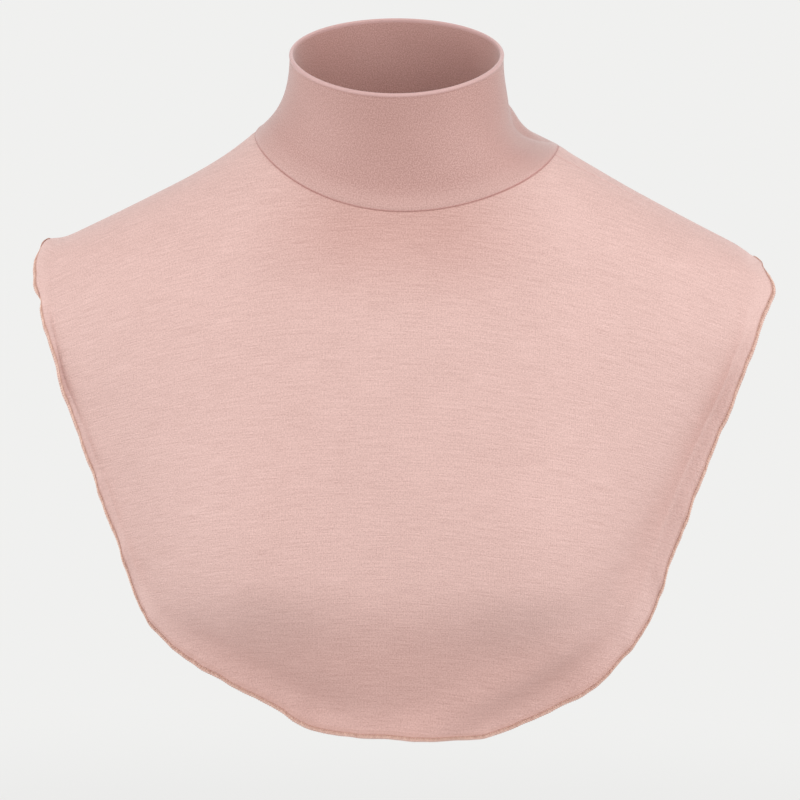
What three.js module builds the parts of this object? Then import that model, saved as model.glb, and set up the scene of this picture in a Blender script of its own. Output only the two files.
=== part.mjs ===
import * as THREE from "three";

// Garment sizes in millimetres, as worn. The origin is the centre of the neck opening at the height
// of the side neck points, with +X to the right of someone facing the front, +Y to the back, +Z up.
const SHOULDER_SPAN = 390;
const SHOULDER_DROP = 64;
const FRONT_LENGTH = 313;
const BACK_LENGTH = 296;
const CHEST_DEPTH = 114;
const BACK_DEPTH = 92;
const BUST_SPAN = 156;
const BUST_DROP = 230;
const BUST_RISE = 15;
const BUST_WIDTH = 44;
const BUST_SLOPE_ABOVE = 70;
const BUST_SLOPE_BELOW = 31;

// Neckline seam, a little lower on the right side, and the folded collar that stands on it
const NECK_SPAN = 160;
const NECK_FRONT_DROP = 39;
const NECK_BACK_RISE = 8;
const NECK_RIGHT_DROP = 4;
const COLLAR_TOP_WIDTH = 116;
const COLLAR_TOP_DEPTH = 120;
const COLLAR_RISE = 45;
const COLLAR_TILT = 19;
const COLLAR_FRONT_DIP = 3;
const COLLAR_FORWARD = 15;
const COLLAR_SIDE_LEAN = 5;
const COLLAR_NECK_LEAN = 12;

// How far the collar follows the cloth from its seam and the neck from its rim, as shares of the
// distance between them, and how flat it lies over the right shoulder before it turns up
const SEAM_PULL = 1.1;
const RIM_PULL = 1.1;
const SEAM_PULL_RIGHT = 0.2;
const RIM_PULL_RIGHT = 1;
const LAY_RIGHT = 0.6;

// Cloth, thread and seam sizes
const CLOTH_WALL = 1.2;
const COLLAR_WALL = 2;
const EDGING_WIDTH = 2;
const EDGING_THICKNESS = 1.8;
const SEAM_GAP = 0.3;
const FLARE_RISE = 4;
const FLARE_WIDTH = 17;
// The flare of the outer edge softens to this share over the last share of the way to each tip
const FLARE_AT_TIP = 0.4;
const FLARE_TIP_SHARE = 0.2;

// Shoulder seams in degrees round the neckline: forward of the ridge on the right, behind it on the left
const RIGHT_SEAM_ANGLE = 77;
const LEFT_SEAM_ANGLE = -94;

// Mesh fineness, in cells
const FRONT_COLUMNS = 60;
const BACK_COLUMNS = 36;
const PANEL_ROWS = 18;
const COLLAR_ROWS = 6;
const EDGING_SIDES = 6;

// Powers that shape the scoop of the neckline, keep the right side's changes to that side, and
// crowd the rows of a bib towards its outer edge
const SCOOP_POWER = 1.4;
const SIDE_POWER = 4;
const ROW_CROWDING = 1.4;

// Extra points over the rounded rim of the collar, in degrees from its outer face
const RIM_CAP_TURNS = [60, 120];

// How quickly a fold fades beyond its two ends, per length of the fold
const FOLD_FADE = 3;

// Shoulder ridge. along: share of the way from the neck to the tip. fall: share of SHOULDER_DROP
const SHOULDER_LINE = [
  { along: -0.12, fall: -0.28 },
  { along: 0.0, fall: 0.0 },
  { along: 0.155, fall: 0.195 },
  { along: 0.335, fall: 0.39 },
  { along: 0.52, fall: 0.565 },
  { along: 0.7, fall: 0.73 },
  { along: 0.88, fall: 0.89 },
  { along: 1.0, fall: 1.0 },
];

// Width below the shoulder tips. fall: share of the front length left below the tips.
// half: share of half the shoulder span
const TORSO_WIDTH = [
  { fall: 0.065, half: 1.082 },
  { fall: 0.135, half: 1.128 },
  { fall: 0.225, half: 1.128 },
  { fall: 0.37, half: 1.056 },
  { fall: 0.545, half: 0.96 },
  { fall: 0.725, half: 0.862 },
  { fall: 0.935, half: 0.77 },
  { fall: 1.05, half: 0.735 },
];

// Depth down the body. drop: share of FRONT_LENGTH. front, back: shares of CHEST_DEPTH, BACK_DEPTH
const BODY_DEPTH = [
  { drop: -0.06, front: 0.5, back: 0.55 },
  { drop: 0.0, front: 0.545, back: 0.62 },
  { drop: 0.04, front: 0.57, back: 0.67 },
  { drop: 0.13, front: 0.62, back: 0.76 },
  { drop: 0.21, front: 0.7, back: 0.85 },
  { drop: 0.31, front: 0.8, back: 0.95 },
  { drop: 0.47, front: 0.905, back: 1.0 },
  { drop: 0.62, front: 0.97, back: 0.97 },
  { drop: 0.7, front: 0.99, back: 0.94 },
  { drop: 0.78, front: 0.99, back: 0.91 },
  { drop: 0.88, front: 0.925, back: 0.87 },
  { drop: 1.0, front: 0.84, back: 0.83 },
  { drop: 1.05, front: 0.825, back: 0.82 },
];

// Outer edges. round: share of the way from the middle of the hem to the shoulder tip. fall: share
// of the length below the tip. turn: share of a quarter turn from the centre line, left and right
const FRONT_EDGE = [
  { round: 0.0, fallLeft: 1.0, turnLeft: 0.0, fallRight: 1.0, turnRight: 0.0 },
  { round: 0.06, fallLeft: 1.0, turnLeft: 0.085, fallRight: 1.0, turnRight: 0.105 },
  { round: 0.12, fallLeft: 0.989, turnLeft: 0.182, fallRight: 0.998, turnRight: 0.212 },
  { round: 0.18, fallLeft: 0.944, turnLeft: 0.273, fallRight: 0.968, turnRight: 0.31 },
  { round: 0.24, fallLeft: 0.905, turnLeft: 0.37, fallRight: 0.928, turnRight: 0.402 },
  { round: 0.3, fallLeft: 0.866, turnLeft: 0.464, fallRight: 0.881, turnRight: 0.487 },
  { round: 0.36, fallLeft: 0.82, turnLeft: 0.55, fallRight: 0.823, turnRight: 0.556 },
  { round: 0.42, fallLeft: 0.752, turnLeft: 0.596, fallRight: 0.75, turnRight: 0.596 },
  { round: 0.5, fallLeft: 0.637, turnLeft: 0.606, fallRight: 0.638, turnRight: 0.602 },
  { round: 0.6, fallLeft: 0.493, turnLeft: 0.615, fallRight: 0.497, turnRight: 0.603 },
  { round: 0.7, fallLeft: 0.35, turnLeft: 0.622, fallRight: 0.36, turnRight: 0.61 },
  { round: 0.8, fallLeft: 0.21, turnLeft: 0.632, fallRight: 0.222, turnRight: 0.625 },
  { round: 0.86, fallLeft: 0.128, turnLeft: 0.68, fallRight: 0.142, turnRight: 0.665 },
  { round: 0.91, fallLeft: 0.072, turnLeft: 0.76, fallRight: 0.086, turnRight: 0.728 },
  { round: 0.955, fallLeft: 0.03, turnLeft: 0.86, fallRight: 0.037, turnRight: 0.815 },
  { round: 1.0, fallLeft: 0.0, turnLeft: 0.985, fallRight: 0.0, turnRight: 0.985 },
];
const BACK_EDGE = [
  { round: 0.0, fall: 1.0, turn: 0.0 },
  { round: 0.12, fall: 0.983, turn: 0.19 },
  { round: 0.24, fall: 0.935, turn: 0.37 },
  { round: 0.34, fall: 0.86, turn: 0.52 },
  { round: 0.42, fall: 0.765, turn: 0.585 },
  { round: 0.5, fall: 0.645, turn: 0.6 },
  { round: 0.62, fall: 0.47, turn: 0.61 },
  { round: 0.75, fall: 0.29, turn: 0.625 },
  { round: 0.85, fall: 0.15, turn: 0.68 },
  { round: 0.93, fall: 0.06, turn: 0.81 },
  { round: 1.0, fall: 0.0, turn: 1.015 },
];

// Soft folds on the front. Ends as shares of half the shoulder span and of FRONT_LENGTH, width as a
// share of half the shoulder span, rise as a share of FLARE_RISE
const FRONT_FOLDS = [
  { fromX: 0.44, fromDrop: 0.86, toX: 0.12, toDrop: 0.99, width: 0.055, rise: 1.1 },
  { fromX: 0.62, fromDrop: 0.8, toX: 0.5, toDrop: 0.94, width: 0.05, rise: 0.6 },
  { fromX: -0.5, fromDrop: 0.87, toX: -0.22, toDrop: 0.95, width: 0.06, rise: -0.8 },
  { fromX: 0.9, fromDrop: 0.34, toX: 0.76, toDrop: 0.6, width: 0.05, rise: -0.7 },
  { fromX: -0.9, fromDrop: 0.36, toX: -0.8, toDrop: 0.56, width: 0.05, rise: -0.6 },
];

const QUARTER = Math.PI / 2;

// Small step over which directions on the cloth are measured
const STEP = 1e-3;

function radians(degrees) {
  return (degrees * Math.PI) / 180;
}

function blend(a, b, share) {
  return a + (b - a) * share;
}

// Smooth curve through the rows of a table, held level beyond its ends
function curve(rows, key, column) {
  const xs = rows.map((row) => row[key]);
  const ys = rows.map((row) => row[column]);
  const last = xs.length - 1;
  const slopes = xs.slice(1).map((x, i) => (ys[i + 1] - ys[i]) / (x - xs[i]));
  const tangents = xs.map((x, i) => {
    if (i === 0) return slopes[0];
    if (i === last) return slopes[last - 1];
    const before = x - xs[i - 1];
    const after = xs[i + 1] - x;
    return (slopes[i - 1] * after + slopes[i] * before) / (before + after);
  });
  return (value) => {
    const x = Math.min(Math.max(value, xs[0]), xs[last]);
    let i = 0;
    while (i < last - 1 && x > xs[i + 1]) i += 1;
    const span = xs[i + 1] - xs[i];
    const t = (x - xs[i]) / span;
    const rest = 1 - t;
    return (
      (1 + 2 * t) * rest * rest * ys[i] +
      t * rest * rest * span * tangents[i] +
      t * t * (3 - 2 * t) * ys[i + 1] -
      t * t * rest * span * tangents[i + 1]
    );
  };
}

const BELOW_TIPS = FRONT_LENGTH - SHOULDER_DROP;
const WIDTH_ROWS = [
  ...SHOULDER_LINE.map((row) => ({
    drop: row.fall * SHOULDER_DROP,
    half: blend(NECK_SPAN / 2, SHOULDER_SPAN / 2, row.along),
  })),
  ...TORSO_WIDTH.map((row) => ({
    drop: SHOULDER_DROP + row.fall * BELOW_TIPS,
    half: (row.half * SHOULDER_SPAN) / 2,
  })),
];
const halfWidth = curve(WIDTH_ROWS, "drop", "half");
const frontShare = curve(BODY_DEPTH, "drop", "front");
const backShare = curve(BODY_DEPTH, "drop", "back");

function bustRise(x, drop) {
  const across = (Math.abs(x) - BUST_SPAN / 2) / BUST_WIDTH;
  const slope = drop < BUST_DROP ? BUST_SLOPE_ABOVE : BUST_SLOPE_BELOW;
  const down = (drop - BUST_DROP) / slope;
  return BUST_RISE * Math.exp(-across * across - down * down);
}

// Surface that the cloth lies on: drop below the side neck points, turn round from the front centre
function bodyPoint(drop, turn) {
  const x = halfWidth(drop) * Math.sin(turn);
  const facing = Math.cos(turn);
  const share = drop / FRONT_LENGTH;
  const front = CHEST_DEPTH * frontShare(share) * facing;
  const rise = bustRise(x, drop) * Math.sqrt(Math.max(facing, 0));
  const y = facing > 0 ? -front - rise : -BACK_DEPTH * backShare(share) * facing;
  return new THREE.Vector3(x, y, -drop);
}

// Share of belonging to the right side, 1 at the right ridge and 0 from the centre lines leftwards
function rightSide(angle) {
  return Math.pow(Math.max(Math.sin(angle), 0), SIDE_POWER);
}

// Neckline seam at an angle round the neck, as a drop and a turn on the body surface
function neckline(angle) {
  const facing = Math.cos(angle);
  const scoop = NECK_FRONT_DROP * Math.pow(Math.max(facing, 0), SCOOP_POWER);
  const rise = facing > 0 ? 0 : NECK_BACK_RISE * facing * facing;
  const drop = scoop - rise + NECK_RIGHT_DROP * rightSide(angle);
  const side = halfWidth(Math.sin(angle) > 0 ? NECK_RIGHT_DROP : 0);
  const across = (side / halfWidth(drop)) * Math.sin(angle);
  const reach = Math.asin(Math.min(Math.max(across, -1), 1));
  const turn = facing >= 0 ? reach : Math.PI - reach;
  return { drop, turn: turn + 2 * Math.PI * Math.round((angle - turn) / (2 * Math.PI)) };
}

const EDGE_CURVES = {
  fallLeft: curve(FRONT_EDGE, "round", "fallLeft"),
  turnLeft: curve(FRONT_EDGE, "round", "turnLeft"),
  fallRight: curve(FRONT_EDGE, "round", "fallRight"),
  turnRight: curve(FRONT_EDGE, "round", "turnRight"),
  fall: curve(BACK_EDGE, "round", "fall"),
  turn: curve(BACK_EDGE, "round", "turn"),
};

function frontEdge(s) {
  const side = s < 0 ? "Left" : "Right";
  const round = Math.abs(s);
  const fall = EDGE_CURVES["fall" + side](round);
  const turn = EDGE_CURVES["turn" + side](round) * QUARTER;
  return { drop: SHOULDER_DROP + fall * BELOW_TIPS, turn: s < 0 ? -turn : turn };
}

function backEdge(s) {
  const fall = EDGE_CURVES.fall(Math.abs(s));
  const turn = EDGE_CURVES.turn(Math.abs(s)) * QUARTER;
  return {
    drop: SHOULDER_DROP + fall * (BACK_LENGTH - SHOULDER_DROP),
    turn: s < 0 ? Math.PI + turn : Math.PI - turn,
  };
}

// Height of the soft folds at a place on the front, each a rounded ridge or valley between two ends
function foldRise(point) {
  let total = 0;
  for (const fold of FRONT_FOLDS) {
    const half = SHOULDER_SPAN / 2;
    const from = new THREE.Vector2(fold.fromX * half, -fold.fromDrop * FRONT_LENGTH);
    const to = new THREE.Vector2(fold.toX * half, -fold.toDrop * FRONT_LENGTH);
    const along = to.clone().sub(from);
    const here = new THREE.Vector2(point.x, point.z).sub(from);
    const share = here.dot(along) / along.lengthSq();
    const off = here.sub(along.clone().multiplyScalar(share)).length() / (fold.width * half);
    const past = Math.max(-share, share - 1, 0) * FOLD_FADE;
    total += fold.rise * FLARE_RISE * Math.exp(-off * off - past * past);
  }
  return total;
}

// The two bibs share one recipe: a fan of lines from the neckline seam out to the outer edge.
// s runs from the left shoulder seam (-1) to the right one (1), t from the neckline (0) to the edge (1)
const FRONT = {
  angle: (s) => radians(blend(LEFT_SEAM_ANGLE, RIGHT_SEAM_ANGLE, (s + 1) / 2)),
  edge: frontEdge,
  folds: foldRise,
  facing: 1,
};
const BACK = {
  angle: (s) => radians(blend(LEFT_SEAM_ANGLE + 360, RIGHT_SEAM_ANGLE, (s + 1) / 2)),
  edge: backEdge,
  folds: () => 0,
  facing: -1,
};

// Place on a line of the fan, before any flare or fold, with the direction in towards the body
function fanPlace(panel, s, t) {
  const inner = neckline(panel.angle(s));
  const outer = panel.edge(s);
  const drop = blend(inner.drop, outer.drop, t);
  const turn = blend(inner.turn, outer.turn, t);
  const byTurn = bodyPoint(drop, turn + STEP).sub(bodyPoint(drop, turn - STEP));
  const byDrop = bodyPoint(drop + STEP, turn).sub(bodyPoint(drop - STEP, turn));
  return {
    point: bodyPoint(drop, turn),
    inward: byTurn.cross(byDrop).normalize(),
    reach: bodyPoint(inner.drop, inner.turn).distanceTo(bodyPoint(outer.drop, outer.turn)),
  };
}

function panelPoint(panel, s, t) {
  const { point, inward, reach } = fanPlace(panel, s, t);
  const fromEdge = Math.max(1 - ((1 - t) * reach) / FLARE_WIDTH, 0);
  const towardsTip = Math.min((1 - Math.abs(s)) / FLARE_TIP_SHARE, 1);
  const flare = FLARE_RISE * blend(FLARE_AT_TIP, 1, towardsTip) * fromEdge * fromEdge;
  return point.addScaledVector(inward, -flare - panel.folds(point));
}

// Directions at a place on a bib: across it, out towards its edge, and the normal away from the body.
// On a shoulder seam the normal comes from the body alone, so that both bibs share it
function panelFrame(panel, s, t) {
  const out = panelPoint(panel, s, t + STEP).sub(panelPoint(panel, s, t - STEP)).normalize();
  if (Math.abs(s) === 1) {
    const outward = fanPlace(panel, s, t).inward.negate();
    const normal = outward.addScaledVector(out, -outward.dot(out)).normalize();
    return { across: normal.clone().cross(out).multiplyScalar(panel.facing), out, normal };
  }
  const left = Math.max(s - STEP, -1);
  const right = Math.min(s + STEP, 1);
  const across = panelPoint(panel, right, t).sub(panelPoint(panel, left, t)).normalize();
  const normal = out.clone().cross(across).multiplyScalar(panel.facing).normalize();
  return { across, out, normal };
}

function signedVolume(points, triangles) {
  let total = 0;
  for (const [a, b, c] of triangles) {
    total += points[a].dot(points[b].clone().cross(points[c]));
  }
  return total / 6;
}

// Closed solid from points and triangles, turned so that its faces look outwards
function solid(points, triangles) {
  const flipped = signedVolume(points, triangles) < 0;
  const order = flipped ? triangles.map(([a, b, c]) => [a, c, b]) : triangles;
  const geometry = new THREE.BufferGeometry();
  geometry.setAttribute("position", new THREE.Float32BufferAttribute(points.flatMap((p) => p.toArray()), 3));
  geometry.setIndex(order.flat());
  geometry.computeVertexNormals();
  return geometry;
}

// Two triangles for a four-sided cell, split along its shorter diagonal
function splitCell(points, a, b, c, d) {
  if (points[a].distanceTo(points[c]) <= points[b].distanceTo(points[d])) {
    return [[a, b, c], [a, c, d]];
  }
  return [[a, b, d], [b, c, d]];
}

// A bib as a thin closed shell with a clearance at its neckline and shoulder seams
function panelGeometry(panel, columns) {
  const rows = PANEL_ROWS;
  const middle = [];
  const outside = [];
  const inside = [];
  for (let j = 0; j <= rows; j += 1) {
    for (let i = 0; i <= columns; i += 1) {
      const s = (2 * i) / columns - 1;
      const t = 1 - Math.pow(1 - j / rows, ROW_CROWDING);
      const { across, out, normal } = panelFrame(panel, s, t);
      const point = panelPoint(panel, s, t);
      const inward = (i === 0) - (i === columns);
      const square = across.clone().addScaledVector(out, -across.dot(out)).normalize();
      point.addScaledVector(square, (inward * SEAM_GAP) / 2);
      if (j === 0) {
        const downward = out.clone().addScaledVector(across, -out.dot(across)).normalize();
        point.addScaledVector(downward, SEAM_GAP / 2);
      }
      middle.push(point);
      outside.push(point.clone().addScaledVector(normal, CLOTH_WALL / 2));
      inside.push(point.clone().addScaledVector(normal, -CLOTH_WALL / 2));
    }
  }
  const points = [...outside, ...inside];
  const behind = outside.length;
  const at = (i, j) => j * (columns + 1) + i;
  const triangles = [];
  for (let j = 0; j < rows; j += 1) {
    for (let i = 0; i < columns; i += 1) {
      for (const [a, b, c] of splitCell(middle, at(i, j), at(i + 1, j), at(i + 1, j + 1), at(i, j + 1))) {
        triangles.push([a, b, c], [a + behind, c + behind, b + behind]);
      }
    }
  }
  const rim = [];
  for (let i = 0; i < columns; i += 1) rim.push(at(i, 0));
  for (let j = 0; j < rows; j += 1) rim.push(at(columns, j));
  for (let i = columns; i > 0; i -= 1) rim.push(at(i, rows));
  for (let j = rows; j > 0; j -= 1) rim.push(at(0, j));
  rim.forEach((a, k) => {
    const b = rim[(k + 1) % rim.length];
    triangles.push([b, a, a + behind], [b, a + behind, b + behind]);
  });
  return solid(points, triangles);
}

// Closed tube of any section: rings of equal length, each joined to the next and the last to the first
function tubeGeometry(rings) {
  const points = rings.flat();
  const sides = rings[0].length;
  const triangles = [];
  rings.forEach((ring, i) => {
    const next = (i + 1) % rings.length;
    for (let k = 0; k < sides; k += 1) {
      const m = (k + 1) % sides;
      const cell = [i * sides + k, next * sides + k, next * sides + m, i * sides + m];
      triangles.push(...splitCell(points, ...cell));
    }
  });
  return solid(points, triangles);
}

// Every column of both bibs in order round the garment, so that seams share their places
function roundTheGarment() {
  const columns = [];
  for (let i = 0; i < FRONT_COLUMNS; i += 1) {
    columns.push({ panel: FRONT, s: (2 * i) / FRONT_COLUMNS - 1 });
  }
  for (let i = 0; i < BACK_COLUMNS; i += 1) {
    columns.push({ panel: BACK, s: 1 - (2 * i) / BACK_COLUMNS });
  }
  return columns;
}

// Middle surface of the collar, from the neckline seam (v = 0) up to its rim (v = 1)
function collarPoint(panel, s, v) {
  const angle = panel.angle(s);
  const { across, out, normal } = panelFrame(panel, s, 0);
  const inward = out.clone().addScaledVector(across, -out.dot(across)).normalize().negate();
  const base = panelPoint(panel, s, 0).addScaledVector(inward, SEAM_GAP / 2);
  const halfWall = COLLAR_WALL / 2;
  const dip = COLLAR_FRONT_DIP * Math.pow(Math.max(Math.cos(angle), 0), 2);
  const rim = new THREE.Vector3(
    (COLLAR_TOP_WIDTH / 2 - halfWall) * Math.sin(angle) - COLLAR_SIDE_LEAN,
    -COLLAR_FORWARD - (COLLAR_TOP_DEPTH / 2 - halfWall) * Math.cos(angle),
    COLLAR_RISE - halfWall - COLLAR_TILT * Math.cos(angle) - dip,
  );
  const right = rightSide(angle);
  const span = base.distanceTo(rim);
  const seamPull = (SEAM_PULL + SEAM_PULL_RIGHT * right) * span;
  const rimPull = (RIM_PULL + RIM_PULL_RIGHT * right) * span;
  const laid = inward.addScaledVector(normal, -LAY_RIGHT * right).normalize();
  const lean = radians(COLLAR_NECK_LEAN);
  const upward = new THREE.Vector3(0, -Math.sin(lean), Math.cos(lean));
  const rest = 1 - v;
  return new THREE.Vector3()
    .addScaledVector(base, (1 + 2 * v) * rest * rest)
    .addScaledVector(laid, v * rest * rest * seamPull)
    .addScaledVector(rim, v * v * (3 - 2 * v))
    .addScaledVector(upward, -v * v * rest * rimPull);
}

function collarGeometry() {
  const rings = roundTheGarment().map(({ panel, s }) => {
    const seam = panelFrame(panel, s, 0);
    const outside = [];
    const inside = [];
    for (let k = 0; k <= COLLAR_ROWS; k += 1) {
      const v = k / COLLAR_ROWS;
      const point = collarPoint(panel, s, v);
      const up = collarPoint(panel, s, v + STEP).sub(point).normalize();
      const own = seam.across.clone().cross(up).multiplyScalar(panel.facing).normalize();
      const normal = k === 0 ? seam.normal : own;
      outside.push(point.clone().addScaledVector(normal, COLLAR_WALL / 2));
      inside.push(point.clone().addScaledVector(normal, -COLLAR_WALL / 2));
      if (k === COLLAR_ROWS) {
        for (const turn of RIM_CAP_TURNS) {
          const cap = point.clone().addScaledVector(normal, (Math.cos(radians(turn)) * COLLAR_WALL) / 2);
          outside.push(cap.addScaledVector(up, (Math.sin(radians(turn)) * COLLAR_WALL) / 2));
        }
      }
    }
    return [...outside, ...inside.reverse()];
  });
  return tubeGeometry(rings);
}

// The thread roll lies just off the outer edge of both bibs and goes all the way round
function edgingGeometry() {
  const columns = roundTheGarment();
  const edge = columns.map(({ panel, s }) => panelPoint(panel, s, 1));
  const rings = columns.map(({ panel, s }, i) => {
    const before = edge[(i + edge.length - 1) % edge.length];
    const after = edge[(i + 1) % edge.length];
    const along = after.clone().sub(before).normalize();
    const out = panelPoint(panel, s, 1).sub(panelPoint(panel, s, 1 - STEP));
    out.addScaledVector(along, -out.dot(along)).normalize();
    const normal = out.clone().cross(along).normalize();
    const centre = edge[i].clone().addScaledVector(out, SEAM_GAP + EDGING_WIDTH / 2);
    const ring = [];
    for (let k = 0; k < EDGING_SIDES; k += 1) {
      const turn = (2 * Math.PI * k) / EDGING_SIDES;
      const point = centre.clone().addScaledVector(out, (Math.cos(turn) * EDGING_WIDTH) / 2);
      ring.push(point.addScaledVector(normal, (Math.sin(turn) * EDGING_THICKNESS) / 2));
    }
    return ring;
  });
  return tubeGeometry(rings);
}

function cloth(name, geometry, colour, roughness) {
  const material = new THREE.MeshStandardMaterial({ color: colour, roughness, metalness: 0 });
  material.name = name;
  const mesh = new THREE.Mesh(geometry, material);
  mesh.name = name;
  return mesh;
}

const dickey = new THREE.Group();
dickey.name = "turtleneck_dickey";
dickey.add(cloth("front_panel", panelGeometry(FRONT, FRONT_COLUMNS), 0xe3bfb8, 0.92));
dickey.add(cloth("back_panel", panelGeometry(BACK, BACK_COLUMNS), 0xe3bfb8, 0.92));
dickey.add(cloth("collar", collarGeometry(), 0xe0bab2, 0.92));
dickey.add(cloth("edging", edgingGeometry(), 0xcf9d8f, 0.85));

export default dickey;
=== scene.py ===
# %% [markdown]
# # A turtleneck dickey
# The garment is a false turtleneck. A folded jersey collar stands on a front bib and a back bib,
# which lie over the shoulders, and a roll of overlock thread finishes their common outer edge.
# The packed CAD solids are loaded as a fixed frame: right in size and place, but faceted. Cloth
# could be simulated, yet the worn form is already known here, so each solid is replaced by a fine
# mesh made from the same curves, with the small waves and creases added.

# %% Load the fixed frame
import math
import bpy
import numpy as np
from mathutils import Matrix, Vector


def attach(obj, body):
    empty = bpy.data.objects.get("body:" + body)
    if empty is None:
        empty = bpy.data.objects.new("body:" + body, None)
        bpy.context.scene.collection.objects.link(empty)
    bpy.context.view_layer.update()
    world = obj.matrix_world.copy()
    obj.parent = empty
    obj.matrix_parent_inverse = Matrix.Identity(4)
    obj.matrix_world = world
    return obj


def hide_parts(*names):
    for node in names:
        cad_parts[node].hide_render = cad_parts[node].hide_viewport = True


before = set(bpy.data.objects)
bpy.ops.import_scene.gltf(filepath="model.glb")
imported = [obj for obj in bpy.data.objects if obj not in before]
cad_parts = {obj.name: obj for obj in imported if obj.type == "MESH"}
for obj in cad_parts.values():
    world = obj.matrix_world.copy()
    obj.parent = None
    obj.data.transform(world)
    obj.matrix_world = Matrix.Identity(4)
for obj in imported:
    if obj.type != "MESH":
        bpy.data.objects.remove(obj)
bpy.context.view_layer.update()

MM = 0.001
print("frame nodes:", sorted(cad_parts))

# %% [markdown]
# ## The camera
# A picture of a garment is taken from a few steps away with a long lens, which keeps the near parts
# from looking too large. The camera could be aimed by hand, but stating the angle round the object,
# the height angle and the distance makes the view easy to read and change.

# %% Place the camera
VIEW_AROUND = math.radians(2.0)
VIEW_ABOVE = math.radians(6.0)
VIEW_ROLL = math.radians(0.85)
VIEW_DISTANCE = 1.7
LENS_MM = 141.5
LOOK_AT = Vector((0.5, -40.0, -142.0)) * MM


def direction(around, above):
    """Way from the object to a place seen at an angle round it and an angle above level."""
    level = math.cos(above)
    return Vector((math.sin(around) * level, -math.cos(around) * level, math.sin(above)))


backward = direction(VIEW_AROUND, VIEW_ABOVE)
level = Vector((math.cos(VIEW_AROUND), math.sin(VIEW_AROUND), 0.0))
upright = backward.cross(level)
sideways = level * math.cos(VIEW_ROLL) + upright * math.sin(VIEW_ROLL)
aim = Matrix((sideways, backward.cross(sideways), backward)).transposed().to_4x4()
camera = bpy.data.objects.new("camera", bpy.data.cameras.new("camera"))
camera.data.lens = LENS_MM
camera.data.dof.use_dof = False
camera.matrix_world = Matrix.Translation(LOOK_AT + backward * VIEW_DISTANCE) @ aim
bpy.context.scene.collection.objects.link(camera)
bpy.context.scene.camera = camera
print("camera at", tuple(round(value, 3) for value in camera.matrix_world.translation))

# %% [markdown]
# ## Curves from short tables
# The outline of a garment is not a circle or an ellipse, so its widths and depths are given by a
# few stations, as a pattern cutter would mark them. A smooth curve through the stations fills in
# the rest. Each station is a share of a named size, so the whole garment follows those sizes.

# %% A smooth curve through the columns of a table
def curve(table, key, column):
    """Smooth function through the stations of a table, level beyond its ends."""
    xs = np.array(table[key])
    ys = np.array(table[column])
    tangents = np.gradient(ys, xs)

    def value_at(value):
        x = np.clip(value, xs[0], xs[-1])
        i = np.clip(np.searchsorted(xs, x, side="right") - 1, 0, len(xs) - 2)
        span = xs[i + 1] - xs[i]
        t = (x - xs[i]) / span
        rest = 1 - t
        return (
            (1 + 2 * t) * rest * rest * ys[i] + t * rest * rest * span * tangents[i]
            + t * t * (3 - 2 * t) * ys[i + 1] - t * t * rest * span * tangents[i + 1]
        )

    return value_at


def blend(a, b, share):
    return a + (b - a) * share


def bell(distance, width):
    """Rounded bump of height one that fades out over its width."""
    return np.exp(-(distance / width) ** 2)


print("curve check:", curve({"x": (0, 1, 2), "y": (0, 1, 4)}, "x", "y")(1.5))

# %% [markdown]
# ## The worn shape
# Worn cloth takes the shape of shoulders and chest. That shape is described by two numbers at every
# place: how far down it is, and how far round from the front centre line. It could be sculpted, but
# a table of widths and depths keeps to named sizes. Only the cloth is ever built from it.

# %% Sizes of the garment as worn
NECK_SPAN = 160 * MM
SHOULDER_SPAN = 390 * MM
SHOULDER_DROP = 64 * MM
FRONT_LENGTH = 313 * MM
BACK_LENGTH = 296 * MM
CHEST_DEPTH = 114 * MM
BACK_DEPTH = 92 * MM
BUST_SPAN = 156 * MM
BUST_DROP = 230 * MM
BUST_RISE = 15 * MM
BUST_WIDTH = 44 * MM
BUST_SLOPE_ABOVE = 70 * MM
BUST_SLOPE_BELOW = 31 * MM

SHOULDER_LINE = {
    "along": (-0.12, 0.0, 0.155, 0.335, 0.52, 0.7, 0.88, 1.0),
    "fall": (-0.28, 0.0, 0.195, 0.39, 0.565, 0.73, 0.89, 1.0),
}
TORSO_WIDTH = {
    "fall": (0.065, 0.135, 0.225, 0.37, 0.545, 0.725, 0.935, 1.05),
    "half": (1.082, 1.128, 1.128, 1.056, 0.96, 0.862, 0.77, 0.735),
}
BODY_DEPTH = {
    "drop": (-0.06, 0.0, 0.04, 0.13, 0.21, 0.31, 0.47, 0.62, 0.7, 0.78, 0.88, 1.0, 1.05),
    "front": (0.5, 0.545, 0.57, 0.62, 0.7, 0.8, 0.905, 0.97, 0.99, 0.99, 0.925, 0.84, 0.825),
    "back": (0.55, 0.62, 0.67, 0.76, 0.85, 0.95, 1.0, 0.97, 0.94, 0.91, 0.87, 0.83, 0.82),
}
BELOW_TIPS = FRONT_LENGTH - SHOULDER_DROP
print("front length below the shoulder tips:", round(BELOW_TIPS / MM), "mm")

# %% The surface in drops and turns
shoulder_half = blend(NECK_SPAN / 2, SHOULDER_SPAN / 2, np.array(SHOULDER_LINE["along"]))
widths = {
    "drop": (*np.array(SHOULDER_LINE["fall"]) * SHOULDER_DROP,
             *(SHOULDER_DROP + np.array(TORSO_WIDTH["fall"]) * BELOW_TIPS)),
    "half": (*shoulder_half, *np.array(TORSO_WIDTH["half"]) * SHOULDER_SPAN / 2),
}
half_width = curve(widths, "drop", "half")
front_share = curve(BODY_DEPTH, "drop", "front")
back_share = curve(BODY_DEPTH, "drop", "back")


def bust_rise(x, drop):
    across = (np.abs(x) - BUST_SPAN / 2) / BUST_WIDTH
    slope = np.where(drop < BUST_DROP, BUST_SLOPE_ABOVE, BUST_SLOPE_BELOW)
    return BUST_RISE * np.exp(-across ** 2 - ((drop - BUST_DROP) / slope) ** 2)


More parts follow.
